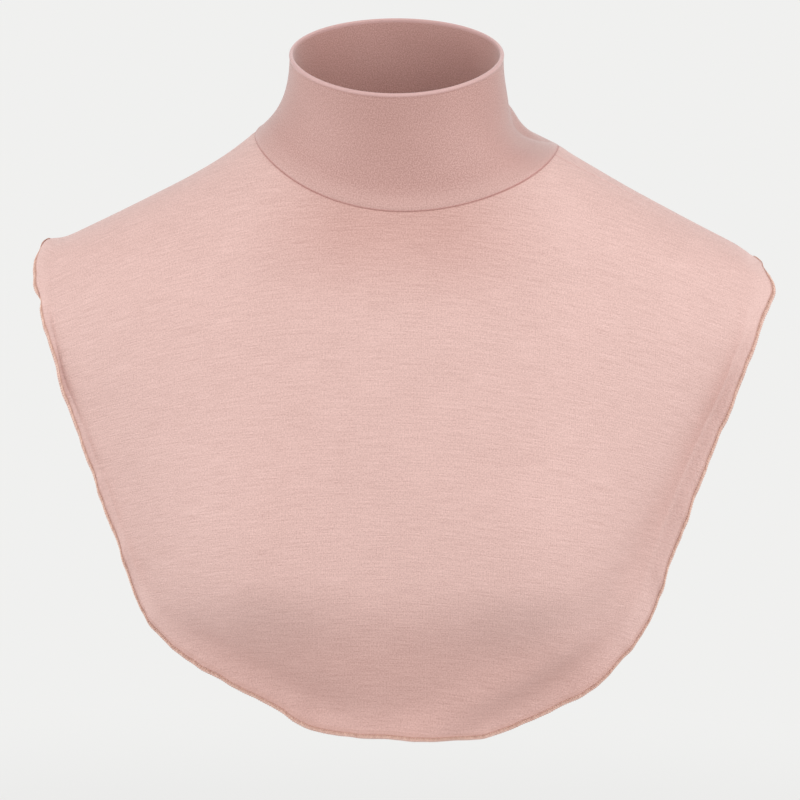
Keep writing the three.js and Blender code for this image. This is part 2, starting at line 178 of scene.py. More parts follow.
def body_point(drop, turn):
    """Place on the worn shape, from the drop below the side of the neck and the turn."""
    x = half_width(drop) * np.sin(turn)
    facing = np.cos(turn)
    share = drop / FRONT_LENGTH
    rise = bust_rise(x, drop) * np.sqrt(np.maximum(facing, 0))
    y = np.where(facing > 0, -CHEST_DEPTH * front_share(share) * facing - rise,
                 -BACK_DEPTH * back_share(share) * facing)
    return np.stack([x, y, -drop], axis=-1)


def lengths(vectors):
    return np.linalg.norm(vectors, axis=-1)


def unit(vectors):
    return vectors / np.maximum(lengths(vectors), 1e-12)[..., None]


print("front of the bust:", body_point(np.array(BUST_DROP), np.array(0.4)).round(4))

# %% [markdown]
# ## The neckline and the outer edges
# The neckline is a rounded scoop in front that rises a little at the back of the neck. The outer
# edges run down from each shoulder tip and meet in a broad curve at the hem. The left and right
# edges differ by a few millimetres, as they do on the real garment. Circles and straight lines
# would be simpler to draw, but every station here can be moved alone.

# %% The neckline
NECK_FRONT_DROP = 39 * MM
NECK_BACK_RISE = 8 * MM
NECK_RIGHT_DROP = 4 * MM
SCOOP_POWER = 1.4
SIDE_POWER = 4


def neckline(angle):
    facing = np.cos(angle)
    scoop = NECK_FRONT_DROP * np.maximum(facing, 0) ** SCOOP_POWER
    drop = np.where(facing > 0, scoop, -NECK_BACK_RISE * facing ** 2)
    drop += NECK_RIGHT_DROP * np.maximum(np.sin(angle), 0) ** SIDE_POWER
    side = half_width(np.where(np.sin(angle) > 0, NECK_RIGHT_DROP, 0))
    reach = np.arcsin(np.clip(side / half_width(drop) * np.sin(angle), -1, 1))
    turn = np.where(facing >= 0, reach, math.pi - reach)
    return drop, turn + 2 * math.pi * np.round((angle - turn) / (2 * math.pi))


print("neckline front drop:", neckline(np.array(0.0))[0].round(4))

# %% The outer edges
# Stations run from the middle of the hem (0) round to the shoulder tip (1). The fall is a share of
# the way from the tips down to the hem, and the turn is a share of a quarter turn from the middle.
FRONT_EDGE = {
    "round": (0.0, 0.06, 0.12, 0.18, 0.24, 0.3, 0.36, 0.42,
              0.5, 0.6, 0.7, 0.8, 0.86, 0.91, 0.955, 1.0),
    "fall_left": (1.0, 1.0, 0.989, 0.944, 0.905, 0.866, 0.82, 0.752,
                  0.637, 0.493, 0.35, 0.21, 0.128, 0.072, 0.03, 0.0),
    "turn_left": (0.0, 0.085, 0.182, 0.273, 0.37, 0.464, 0.55, 0.596,
                  0.606, 0.615, 0.622, 0.632, 0.68, 0.76, 0.86, 0.985),
    "fall_right": (1.0, 1.0, 0.998, 0.968, 0.928, 0.881, 0.823, 0.75,
                   0.638, 0.497, 0.36, 0.222, 0.142, 0.086, 0.037, 0.0),
    "turn_right": (0.0, 0.105, 0.212, 0.31, 0.402, 0.487, 0.556, 0.596,
                   0.602, 0.603, 0.61, 0.625, 0.665, 0.728, 0.815, 0.985),
}
BACK_EDGE = {
    "round": (0.0, 0.12, 0.24, 0.34, 0.42, 0.5, 0.62, 0.75, 0.85, 0.93, 1.0),
    "fall": (1.0, 0.983, 0.935, 0.86, 0.765, 0.645, 0.47, 0.29, 0.15, 0.06, 0.0),
    "turn": (0.0, 0.19, 0.37, 0.52, 0.585, 0.6, 0.61, 0.625, 0.68, 0.81, 1.015),
}
QUARTER = math.pi / 2


def front_edge(s):
    around = np.abs(s)
    left, right = ([curve(FRONT_EDGE, "round", name + side)(around) for name in ("fall_", "turn_")]
                   for side in ("left", "right"))
    fall = np.where(s < 0, left[0], right[0])
    turn = np.where(s < 0, -left[1], right[1]) * QUARTER
    return SHOULDER_DROP + fall * BELOW_TIPS, turn


def back_edge(s):
    around = np.abs(s)
    drop = SHOULDER_DROP + curve(BACK_EDGE, "round", "fall")(around) * (BACK_LENGTH - SHOULDER_DROP)
    turn = curve(BACK_EDGE, "round", "turn")(around) * QUARTER
    return drop, np.where(s < 0, math.pi + turn, math.pi - turn)


tip_turns = front_edge(np.array([-1.0, 1.0]))[1] / QUARTER
print("shoulder tips in quarter turns:", tip_turns.round(3))

# %% [markdown]
# ## A bib as a fan of lines
# Jersey is one even sheet, so its mesh should be an even grid. Straight rows across would leave a
# ragged outline, so the lines fan out from the neckline seam to the outer edge, and every row of
# the grid follows one of those two curves. Rows crowd towards the edge, where the cloth flutters.

# %% Lines of the fan
RIGHT_SEAM_ANGLE = 77
LEFT_SEAM_ANGLE = -94
SEAM_COLUMNS = np.array([0.0008, 0.0018, 0.003, 0.0045])
FRONT_COLUMNS = 400
BACK_COLUMNS = 300

FRONT = {"angles": (LEFT_SEAM_ANGLE, RIGHT_SEAM_ANGLE), "edge": front_edge, "facing": 1}
BACK = {"angles": (LEFT_SEAM_ANGLE + 360, RIGHT_SEAM_ANGLE), "edge": back_edge, "facing": -1}


def spread_columns(count):
    """Shares from seam to seam, with a few more lines close to each seam."""
    even = np.linspace(-1, 1, count - 2 * len(SEAM_COLUMNS) + 1)
    return np.sort(np.concatenate([even, SEAM_COLUMNS - 1, 1 - SEAM_COLUMNS]))


def neck_angle(panel, s):
    return np.radians(blend(*panel["angles"], (s + 1) / 2))


front_s = spread_columns(FRONT_COLUMNS)
back_s = spread_columns(BACK_COLUMNS)
print("lines in the front and the back:", len(front_s), len(back_s))

# %% Lay the fan over the worn shape
NECK_ROWS = np.array([0.0012, 0.0026, 0.0045, 0.0075])
ROW_CROWDING = 1.3
EDGE_BAND = 1.75 * MM
STEP = 1e-4


def fan(panel, s, rows):
    """Grid of drops, turns, points and distances, out to the far side of the stitching."""
    drop_in, turn_in = neckline(neck_angle(panel, s))
    drop_out, turn_out = panel["edge"](s)
    reach = lengths(body_point(drop_in, turn_in) - body_point(drop_out, turn_out))
    even = np.linspace(0, 1, rows + 1)
    share = np.sort(np.append(1 - (1 - even) ** ROW_CROWDING, NECK_ROWS))
    t = share[:, None] * (1 + EDGE_BAND / reach)
    drop = blend(drop_in, drop_out, t)
    turn = blend(turn_in, turn_out, t)
    return {"drop": drop, "turn": turn, "point": body_point(drop, turn), "to_edge": (1 - t) * reach,
            "from_neck": t * reach}


def outward_normal(drop, turn):
    by_turn = body_point(drop, turn + STEP) - body_point(drop, turn - STEP)
    by_drop = body_point(drop + STEP, turn) - body_point(drop - STEP, turn)
    return -unit(np.cross(by_turn, by_drop))


def grid_normal(point, facing):
    """Normals of a grid of points, rows running outwards and columns running round."""
    down, across = np.gradient(point, axis=0), np.gradient(point, axis=1)
    return unit(np.cross(down, across)) * facing


widest = np.abs(fan(FRONT, front_s, 10)["point"][..., 0]).max()
print("widest place of the front from the middle:", round(float(widest), 4), "m")

# %% [markdown]
# ## Flare, folds and a fluttering edge
# Overlock stitching stretches the edge of a knit a little, so the edge is longer than the cloth
# beside it and it curls into small waves. Further in, weight and body shape leave a few soft folds.
# Where a fold runs beside the edge, the firm stitching keeps its line, and the fold dies out before
# it. A simulation would place such waves at random. Here they are placed one by one along the edge.

# %% Flare of the edge
FLARE_RISE = 4 * MM
FLARE_WIDTH = 17 * MM
FLARE_AT_TIP = 0.4
FLARE_TIP_SHARE = 0.2
FLARE_LEFT = 0.85
SIDE_CHANGE = 2


def flare(s, to_edge):
    """Lift of the edge, less at the shoulder tips and on the left side."""
    from_edge = np.maximum(1 - to_edge / FLARE_WIDTH, 0)
    towards_tip = np.minimum((1 - np.abs(s)) / FLARE_TIP_SHARE, 1)
    by_side = blend(FLARE_LEFT, 1, np.clip(0.5 + SIDE_CHANGE * s, 0, 1))
    return FLARE_RISE * blend(FLARE_AT_TIP, 1, towards_tip) * by_side * from_edge ** 2


print("flare at the very edge:", round(float(flare(np.array(0.0), np.array(0.0))) / MM, 2), "mm")

# %% Soft folds
FOLD_FADE = 3
FOLD_EDGE = 9 * MM
FRONT_FOLDS = (
    {"from": (0.44, 0.86), "to": (0.12, 0.99), "width": 0.055, "rise": 1.1, "spared": 0},
    {"from": (0.62, 0.8), "to": (0.5, 0.94), "width": 0.05, "rise": 0.6, "spared": 0},
    {"from": (-0.5, 0.87), "to": (-0.22, 0.95), "width": 0.06, "rise": -0.8, "spared": 0},
    {"from": (0.91, 0.44), "to": (0.64, 0.76), "width": 0.065, "rise": -1.25, "spared": 0.9},
    {"from": (-0.86, 0.36), "to": (-0.78, 0.56), "width": 0.05, "rise": -0.3, "spared": 0},
)


def fold_rise(point, to_edge):
    """Height of the soft folds. Their ends are shares of the half width and the front length."""
    half = SHOULDER_SPAN / 2
    sizes = np.array([half, -FRONT_LENGTH])
    total = np.zeros(point.shape[:-1])
    at_edge = bell(np.maximum(to_edge, 0), FOLD_EDGE)
    for fold in FRONT_FOLDS:
        start = np.array(fold["from"]) * sizes
        along = np.array(fold["to"]) * sizes - start
        here = point[..., [0, 2]] - start
        share = here @ along / (along @ along)
        off = lengths(here - share[..., None] * along)
        past = np.maximum(np.maximum(-share, share - 1), 0) * FOLD_FADE
        across = bell(off, fold["width"] * half)
        total += fold["rise"] * FLARE_RISE * across * bell(past, 1) * (1 - fold["spared"] * at_edge)
    return total


print("folds:", len(FRONT_FOLDS), "and the strongest:", max(abs(f["rise"]) for f in FRONT_FOLDS))

# %% Flutter of the stitched edge
WAVES = ((0.5, 3.1, 0.0), (0.8, 5.3, 1.0), (0.6, 8.9, 2.0))
WAVE_RISE = 0.45 * MM
WAVE_FADE = 9 * MM
PUCKERS = ((1.0, 1.5, 0.0), (1.0, 2.1, 0.5))
PUCKER_RISE = 0.1 * MM
PUCKER_FADE = 6 * MM


def waving(run, waves):
    """Sum of sines, each given by its height, its millimetres to one radian, and its start."""
    return sum(height * np.sin(run / (length * MM) + start) for height, length, start in waves)


def flutter(run, to_edge):
    """Small waves of the stitched edge, of uneven length, that die out a little inside it."""
    inside = np.maximum(to_edge, 0)
    return (WAVE_RISE * waving(run, WAVES) * np.exp(-inside / WAVE_FADE)
            + PUCKER_RISE * waving(run, PUCKERS) * np.exp(-inside / PUCKER_FADE))


swing = flutter(np.linspace(0, 0.2, 400), np.array(0.0))
print("flutter in mm from", (swing.min() / MM).round(2), "to", (swing.max() / MM).round(2))

# %% [markdown]
# ## Seams
# The collar and the bibs are sewn together inside out, so from outside a seam is only a fine
# crease: both cloths turn inwards there, and the folded allowance behind lifts them slightly on
# either side. The crease is shaped in the mesh, since a painted line would vanish from the side.

# %% The crease of a seam
# The jersey finish also lays a thin line of painted shade along each seam crease.
CREASE_DEPTH = 0.3 * MM
CREASE_WIDTH = 0.55 * MM
SEAM_LIFT = 0.2 * MM
SEAM_LIFT_AT = 3.0 * MM
SEAM_LIFT_WIDTH = 1.8 * MM


def seam_relief(distance, lift=SEAM_LIFT):
    """Height of cloth at a distance from a seam: a narrow dip with a low swelling beside it."""
    swelling = lift * bell(distance - SEAM_LIFT_AT, SEAM_LIFT_WIDTH)
    return swelling - CREASE_DEPTH * bell(distance, CREASE_WIDTH)


print("relief beside a seam in mm:", (seam_relief(np.array([0, 1, 2, 3, 5]) * MM) / MM).round(2))

# %% [markdown]
# ## Small shifts
# Both shoulder tips have a tiny notch and a pinched corner where the stitching turns, and the foot
# of the collar is drawn in a little at both sides. Such places could be sculpted with a brush. A
# short table of shifts, each fading out round its place, does the same and can be read and changed.
# Its rows give the place seen from the front, the width and the shift, all in millimetres.

# %% Shifts at the tips and at the collar's foot
TUCKS = (
    {"x": -197, "z": -64, "width": 7, "shift": (-0.5, 0.0, 2.4)},
    {"x": -204, "z": -59, "width": 6, "shift": (4.0, 0.0, 0.0)},
    {"x": -202, "z": -67, "width": 2.6, "shift": (1.6, 2.0, 0.0)},
    {"x": -197.5, "z": -92, "width": 3, "shift": (2.4, 3.0, 0.0)},
    {"x": 197, "z": -62, "width": 9, "shift": (-4.0, 0.0, -1.0)},
    {"x": 204, "z": -68, "width": 4.5, "shift": (-5.0, 7.0, 0.0)},
    {"x": 198, "z": -79, "width": 8, "shift": (3.0, 0.0, 0.0)},
    {"x": 204, "z": -72, "width": 3.5, "shift": (-2.0, 3.0, 0.0)},
    {"x": 84, "z": -6, "width": 20, "shift": (-1.5, 0.0, -0.7)},
    {"x": 69, "z": 9, "width": 10, "shift": (-2.0, 0.0, 0.0)},
    {"x": 60, "z": 21, "width": 12, "shift": (2.0, 0.0, 0.0)},
    {"x": -80, "z": -2, "width": 16, "shift": (-1.5, 0.0, 0.5)},
)


def settle(point):
    """Points moved by every tuck that is near them."""
    moved = point.copy()
    for tuck in TUCKS:
        off = point[..., [0, 2]] - np.array([tuck["x"], tuck["z"]]) * MM
        moved += bell(lengths(off), tuck["width"] * MM)[..., None] * np.array(tuck["shift"]) * MM
    return moved


left_tip = np.array([-197.0, -60.0, -64.0]) * MM
print("shift at the left tip in mm:", ((settle(left_tip) - left_tip) / MM).round(2))

# %% [markdown]
# ## The middle of a bib
# The middle surface is the fan on the worn shape, pushed out along its normals: first by flare and
# folds, then by the flutter and the seams. Flutter fades near the shoulder seams, where both bibs
# have to meet. Everything could be one formula, but in steps each can be left out and compared.

# %% Middle surface of a bib
SEAM_CALM = 12 * MM
BIB_ROWS = 110


def run_along(points, axis):
    """Distance walked along a grid of points, from its first row or column."""
    steps = lengths(np.diff(points, axis=axis))
    start = np.zeros_like(np.take(steps, [0], axis=axis))
    return np.cumsum(np.concatenate([start, steps], axis=axis), axis=axis)


def bib(panel, s, rows=BIB_ROWS):
    """Points, normals and measures of the middle of a bib's cloth."""
    grid = fan(panel, s, rows)
    normal = outward_normal(grid["drop"], grid["turn"])
    folds = fold_rise(grid["point"], grid["to_edge"]) if panel is FRONT else 0
    point = grid["point"] + normal * (flare(s, grid["to_edge"]) + folds)[..., None]
    at_edge = point[np.abs(grid["to_edge"]).argmin(axis=0), np.arange(len(s))]
    run = run_along(at_edge[None], 1)[0]
    across = run_along(point, 1)
    to_seam = np.minimum(across, across[:, -1:] - across)
    lift = flutter(run, grid["to_edge"]) * np.minimum(to_seam / SEAM_CALM, 1)
    lift += seam_relief(grid["from_neck"]) + seam_relief(to_seam, 0)
    point = settle(point + normal * lift[..., None])
    grid.update(point=point, normal=grid_normal(point, panel["facing"]), run=run, to_seam=to_seam)
    return grid


front_grid = bib(FRONT, front_s)
back_grid = bib(BACK, back_s)
edge_lengths = [round(float(grid["run"][-1]), 3) for grid in (front_grid, back_grid)]
print("edge lengths in metres, front and back:", edge_lengths)

# %% [markdown]
# ## Grids into closed meshes
# A sheet with thickness is two grids, one for each face, joined round the rim. A collar or a thread
# is a ring of cross-sections whose last one meets the first. Both come from rows of points, so two
# helpers serve every piece. Texture places are stored in metres, so one finish fits all pieces.

# %% A new piece
def make_piece(name, points, faces, texture_maps):
    """New object from points, four-sided faces and texture places for each face corner."""
    mesh = bpy.data.meshes.new(name)
    mesh.from_pydata(points.tolist(), [], faces.tolist())
    mesh.polygons.foreach_set("use_smooth", np.ones(len(faces), dtype=bool))
    for title, places in texture_maps.items():
        layer = mesh.uv_layers.new(name=title)
        layer.data.foreach_set("uv", places.reshape(-1).astype(np.float32))
    mesh.update()
    piece = bpy.data.objects.new(name, mesh)
    bpy.context.scene.collection.objects.link(piece)
    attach(piece, "root")
    print(name, "faces:", len(faces))
    return piece


# %% Closed shells and closed rings
def cells(rows, columns, wrap_rows=False, wrap_columns=False):
    """Corner numbers of the cells of a grid, and the same ones before any wrapping round."""
    j, i = np.meshgrid(np.arange(rows), np.arange(columns), indexing="ij")
    corners = [(j, i), (j, i + 1), (j + 1, i + 1), (j + 1, i)]
    high = rows if wrap_rows else rows + 1
    wide = columns if wrap_columns else columns + 1
    closed = [(a % high) * wide + b % wide for a, b in corners]
    opened = [a * (columns + 1) + b for a, b in corners]
    return np.stack(closed, -1).reshape(-1, 4), np.stack(opened, -1).reshape(-1, 4)


def sheet_piece(name, outside, inside, texture_maps):
    """Closed shell between two grids of the same size."""
    rows, columns = outside.shape[0] - 1, outside.shape[1] - 1
    top, _ = cells(rows, columns)
    ids = np.arange(outside.shape[0] * outside.shape[1]).reshape(rows + 1, columns + 1)
    rim = np.concatenate([ids[0, :-1], ids[:-1, -1], ids[-1, :0:-1], ids[:0:-1, 0]])
    after = np.roll(rim, -1)
    side = np.stack([after, rim, rim + ids.size, after + ids.size], -1)
    faces = np.concatenate([top, top[:, ::-1] + ids.size, side])
    points = np.concatenate([outside.reshape(-1, 3), inside.reshape(-1, 3)])
    maps = {title: np.tile(grid.reshape(-1, 2), (2, 1))[faces]
            for title, grid in texture_maps.items()}
    return make_piece(name, points, faces, maps)


def ring_piece(name, sections, texture_maps):
    """Closed ring of closed sections: first axis round the ring, second round a section."""
    count, sides = sections.shape[:2]
    faces, places = cells(count, sides, wrap_rows=True, wrap_columns=True)
    maps = {title: grid.reshape(-1, 2)[places] for title, grid in texture_maps.items()}
    return make_piece(name, sections.reshape(-1, 3), faces, maps)


print("corners of the first cell of a small grid:", cells(2, 3)[0][0])

# %% [markdown]
# ## How the knit lies
# A knit has columns of stitches called wales and rows called courses. On a worn bib the courses run
# level over the chest and droop towards the armholes, because the shoulders slope. The texture
# map follows the courses: its first number is the distance round, its second the distance down.
# A second map holds the distances to the nearest seam and to the edge, where the cloth looks
# different. Both could be unwrapped by hand, but measured distances keep the streaks level.

# %% Texture places of a bib
DOWN_STRETCH = 1.04
DROOP_TOP = 1.7
DROOP_LOW = 0.75
DROOP_FADE = 0.12
DROOP_REACH = 0.2
ROUND_STEPS = 24


def knit_map(grid, centre):
    """Distance round from the centre line and down, with courses that droop at the sides."""
    turn, drop = grid["turn"], grid["drop"]
    around = np.zeros_like(turn)
    before = body_point(drop, np.full_like(turn, centre))
    for k in range(1, ROUND_STEPS + 1):
        here = body_point(drop, centre + (turn - centre) * k / ROUND_STEPS)
        around += lengths(here - before)
        before = here
    droop = blend(DROOP_LOW, DROOP_TOP, np.exp(-np.maximum(drop, 0) / DROOP_FADE))
    down = DOWN_STRETCH * drop - droop * np.minimum(around, DROOP_REACH) ** 2
    return np.stack([around * np.sign(turn - centre), down], -1)


def border_map(grid):
    """Distances to the nearest seam and to the stitched edge."""
    return np.stack([np.minimum(grid["from_neck"], grid["to_seam"]), grid["to_edge"]], -1)


front_knit = knit_map(front_grid, 0.0)
print("furthest round on the front:", front_knit[..., 0].max().round(3))

# %% [markdown]
# ## Both bibs
# Each bib is one layer of thin jersey. A Solidify modifier could thicken its middle surface. Two
# grids, half a thickness to each side, give the same closed shell, and both faces keep their
# texture places, so the inside shows the same knit.

# %% Build both bibs
CLOTH_WALL = 1.2 * MM


def bib_piece(name, node, grid, knit):
    half = grid["normal"] * CLOTH_WALL / 2
    maps = {"knit": knit, "border": border_map(grid)}
    piece = sheet_piece(name, grid["point"] + half, grid["point"] - half, maps)
    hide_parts(node)
    return piece


front_bib = bib_piece("front_bib", "front_panel", front_grid, front_knit)
back_bib = bib_piece("back_bib", "back_panel", back_grid, knit_map(back_grid, math.pi))

# %% [markdown]
# ## The folded collar
# The collar is one strip folded double, so its top is a soft fold and both cut edges are sewn into
# the neckline. It is stretched round the neck and spreads where it meets the shoulders. A plain
# tube would not spread, so each line of the collar is a curve that leaves the seam along the
# cloth and ends upright at the rim.

# %% Collar sizes
COLLAR_TOP_WIDTH = 116 * MM
COLLAR_TOP_DEPTH = 120 * MM
COLLAR_RISE = 45 * MM
COLLAR_TILT = 19 * MM
COLLAR_FRONT_DIP = 3 * MM
COLLAR_FORWARD = 15 * MM
COLLAR_SIDE_LEAN = 5 * MM
COLLAR_NECK_LEAN = math.radians(12)
SEAM_PULL = 1.1
RIM_PULL = 1.1
SEAM_PULL_RIGHT = 0.2
RIM_PULL_RIGHT = 1.0
LAY_RIGHT = 0.6
COLLAR_WALL = 2 * MM
print("collar opening:", round(COLLAR_TOP_WIDTH / MM), "by", round(COLLAR_TOP_DEPTH / MM), "mm")

# %% Middle surface of the collar
def seam_frame(panel, s):
    """Neckline points with the directions away from the body and into the collar."""
    drop, turn = neckline(neck_angle(panel, s))
    base = body_point(drop, turn)
    near = neckline(neck_angle(panel, s + STEP))
    along = unit(body_point(*near) - base) * panel["facing"]
    normal = outward_normal(drop, turn)
    inward = unit(np.cross(normal, along))
    return base, normal, inward


def collar_surface(panel, s, v):
    """Grid of points, a row for each share v of the way from the seam up to the rim."""
    angle = neck_angle(panel, s)
    base, normal, inward = seam_frame(panel, s)
    dip = COLLAR_FRONT_DIP * np.maximum(np.cos(angle), 0) ** 2
    rim = np.stack([
        (COLLAR_TOP_WIDTH - COLLAR_WALL) / 2 * np.sin(angle) - COLLAR_SIDE_LEAN,
        -COLLAR_FORWARD - (COLLAR_TOP_DEPTH - COLLAR_WALL) / 2 * np.cos(angle),
        COLLAR_RISE - COLLAR_WALL / 2 - COLLAR_TILT * np.cos(angle) - dip,
    ], -1)
    right = np.maximum(np.sin(angle), 0) ** SIDE_POWER
    span = lengths(base - rim)
    inward = unit(inward - normal * (LAY_RIGHT * right)[:, None])
    from_seam = inward * (span * (SEAM_PULL + SEAM_PULL_RIGHT * right))[:, None]
    upward = np.array([0, -math.sin(COLLAR_NECK_LEAN), math.cos(COLLAR_NECK_LEAN)])
    to_rim = upward * (span * (RIM_PULL + RIM_PULL_RIGHT * right))[:, None]
    v = v[:, None, None]
    rest = 1 - v
    return (base * (1 + 2 * v) * rest ** 2 + from_seam * v * rest ** 2
            + rim * v ** 2 * (3 - 2 * v) - to_rim * v ** 2 * rest)


FRONT_LINES = 210
BACK_LINES = 150
around_s = [(FRONT, np.linspace(-1, 1, FRONT_LINES + 1)[:-1]),
            (BACK, np.linspace(1, -1, BACK_LINES + 1)[:-1])]
print("lines up the collar:", sum(len(s) for _, s in around_s))

# %% Rows of the collar's middle surface
COLLAR_ROWS = 33
EVEN_PART = 0.92
FOOT_CROWDING = 1.25
FOOT_ROWS = np.array([0.0045, 0.008])
RIM_ROWS = np.array([0.065, 0.05, 0.04, 0.032, 0.025, 0.018, 0.012, 0.007, 0.003, 0.0])

even = np.linspace(0, 1, COLLAR_ROWS)[1:]
v = np.concatenate([[0.0], FOOT_ROWS, EVEN_PART * even ** FOOT_CROWDING, 1 - RIM_ROWS])
middle = settle(np.concatenate([collar_surface(panel, s, v) for panel, s in around_s], axis=1))
looped = np.concatenate([middle[:, -1:], middle, middle[:, :1]], axis=1)
collar_normal = -grid_normal(looped, 1)[:, 1:-1]
collar_up = unit(np.gradient(middle, axis=0))
from_seam = run_along(middle, 0)
print("collar from", from_seam[-1].min().round(3), "to", from_seam[-1].max().round(3), "m high")

# %% [markdown]
# ## The fold at the rim
# Where the strip turns over, the knit makes a small rounded lip with a faint groove under it. The
# strip runs up outside the middle surface, round the rim and down inside, with a thin air gap
# between its two layers. A Solidify modifier would end in a flat top instead of a turned one.

# %% The strip folded over the rim
LIP_TURNS = 7
LIP_SIZE = 1.6 * MM
LIP_RISE = 0.3 * MM
GROOVE_DEPTH = 0.12 * MM
GROOVE_WIDTH = 0.5 * MM
FOOT_LIFT = 0.4 * MM
STRIP_WALL = 0.9 * MM

from_rim = from_seam[-1] - from_seam
relief = seam_relief(from_seam, FOOT_LIFT) + LIP_RISE * bell(from_rim, LIP_SIZE / 2)
relief -= GROOVE_DEPTH * bell(from_rim - LIP_SIZE, GROOVE_WIDTH)
layer = (COLLAR_WALL - STRIP_WALL) / 2
turns = np.linspace(0, math.pi, LIP_TURNS + 2)[1:-1, None, None]
lip_normal = collar_normal[-1] * np.cos(turns) + collar_up[-1] * np.sin(turns)
strip_normal = np.concatenate([collar_normal, lip_normal, -collar_normal[::-1]])
strip = np.concatenate([
    middle + collar_normal * (layer + relief)[..., None],
    middle[-1] + lip_normal * (layer + LIP_RISE * np.cos(turns / 2)),
    (middle - collar_normal * layer)[::-1],
])
print("strip width across the fold:", run_along(strip, 0)[-1].min().round(3), "m and more")

# %% [markdown]
# ## The collar as one ring
# The strip is thickened like the bibs, which makes each line of the collar a closed cross-section.
# The cross-sections run round the neck and the last meets the first. Two tubes, one inside the
# other, could look alike from outside, but they would part where the rim is seen from above.

# %% Collar object
def closed_columns(grid):
    """Grid with its first column again at the end, for texture places that run all round."""
    return np.concatenate([grid, grid[:, :1]], axis=1)


seam_run = run_along(closed_columns(middle[:1]), 1)[0]
strip_run = run_along(closed_columns(strip), 0)
from_fold = np.abs(strip_run - strip_run[len(v) + LIP_TURNS // 2])
strip_maps = {"knit": np.stack([np.broadcast_to(seam_run, strip_run.shape), strip_run], -1),
              "border": np.stack([strip_run, from_fold], -1)}
half = strip_normal * STRIP_WALL / 2
section = np.concatenate([strip + half, (strip - half)[::-1]])
section_maps = {title: np.concatenate([grid, grid[::-1], grid[:1]]).transpose(1, 0, 2)
                for title, grid in strip_maps.items()}
collar_piece = ring_piece("folded_collar", section.transpose(1, 0, 2), section_maps)
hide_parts("collar")

# %% [markdown]
# ## Overlock stitching
# An overlock machine sews with three threads. One looper thread lies on the face in a close zigzag,
# a second one does the same underneath, and both meet round the cut edge. The needle thread ties
# them down along an inner line. A striped texture would look flat at the outline, so each thread is
# a real tube that follows its own path. First comes the line that all three follow.

# %% Path of the stitching along both bibs
STITCH_LENGTH = 1.36 * MM


def edge_track(grid, order):
    """Centre line of the cut edge with the outward and normal directions."""
    end = grid["point"][-1]
    out = unit(end - grid["point"][-3])
    return [item[::order] for item in (end, out, grid["normal"][-1])]


tracks = [np.concatenate(parts)
          for parts in zip(edge_track(front_grid, 1), edge_track(back_grid, -1))]
track_run = run_along(np.concatenate([tracks[0], tracks[0][:1]])[None], 1)[0]
stitches = round(track_run[-1] / STITCH_LENGTH)
print("stitched edge:", track_run[-1].round(3), "m with", stitches, "stitches")

# %% Threads as tubes
SECTION_TILT = 0.01


def along_track(run):
    """Point and directions of the edge at distances along it."""
    wrapped = [np.concatenate([item, item[:1]]) for item in tracks]
    at = np.stack([np.stack([np.interp(run, track_run, item[:, k]) for k in range(3)], -1)
                   for item in wrapped])
    out = unit(at[1])
    normal = unit(at[2] - out * (at[2] * out).sum(-1)[:, None])
    return at[0], out, normal


def thread_piece(name, steps, sides, radius, place):
    """Tube whose centre is given, at each phase of a stitch, as distances out and up."""
    count = stitches * steps
    phase = np.arange(count) / steps
    origin, out, normal = along_track(phase / stitches * track_run[-1])
    outward, upward = place(phase % 1)
    centre = origin + out * outward[:, None] + normal * upward[:, None]
    along = unit(np.roll(centre, -1, axis=0) - np.roll(centre, 1, axis=0))
    first = unit(np.cross(along, normal + out * SECTION_TILT))
    second = np.cross(along, first)
    angle = np.arange(sides) * 2 * math.pi / sides
    ring = centre[:, None] + radius * (first[:, None] * np.cos(angle)[:, None]
                                       + second[:, None] * np.sin(angle)[:, None])
    run = np.arange(count + 1)[:, None] / steps * STITCH_LENGTH
    turn = np.arange(sides + 1)[None] / sides * MM
    texture = np.stack(np.broadcast_arrays(run, turn), -1)
    piece = ring_piece(name, ring, {"knit": texture})
    return piece


print("edge starts at", along_track(np.array([0.0]))[0][0].round(3))

# %% [markdown]
# ## Three paths
# A looper thread swings once between the needle line and the cut edge in each stitch and dives
# round the edge there. The needle thread runs straight and dips into a hole at every stitch. Both
# are short formulas of the phase of a stitch, which counts from 0 to 1. Copies of one modelled
# stitch along a curve would show their joints, where these tubes run on.

# %% Looper threads and needle thread
STITCH_REACH = 2.0 * MM
LOOPER = {"steps": 8, "sides": 5, "radius": 0.23 * MM}
LOOPER_LIFT = 0.6
EDGE_POWER = 4
NEEDLE = {"steps": 4, "sides": 4, "radius": 0.2 * MM}
NEEDLE_LIFT = 0.9
NEEDLE_DIP = 3
HOLE_POWER = 6


def looper(side):
    """Zigzag between the needle line and the cut edge, over the face (1) or under it (-1)."""
    def place(phase):
        out = 0.5 - 0.5 * np.cos(2 * math.pi * phase)
        height = CLOTH_WALL / 2 + LOOPER["radius"] * LOOPER_LIFT
        outward = STITCH_REACH * (out - 1) + LOOPER["radius"] * out
        return outward, side * height * (1 - out ** EDGE_POWER)
    return place


def needle(phase):
    """Short straight stitches that dip into the cloth at every hole."""
    dip = np.abs(np.cos(math.pi * phase)) ** HOLE_POWER
    upward = CLOTH_WALL / 2 + NEEDLE["radius"] * (NEEDLE_LIFT - NEEDLE_DIP * dip)
    return np.full_like(phase, -STITCH_REACH), upward


face_thread = thread_piece("face_looper_thread", place=looper(1), **LOOPER)
under_thread = thread_piece("under_looper_thread", place=looper(-1), **LOOPER)
needle_thread = thread_piece("needle_thread", place=needle, **NEEDLE)
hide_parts("edging")

# %% [markdown]
# ## Writing finishes as sums
# A finish is a graph of nodes. Wiring each node by hand hides the idea behind it, so a small class
# wraps one output and lets ordinary arithmetic add the Math nodes. Any other node comes from one
# method that first sets the node's settings, then its inputs.

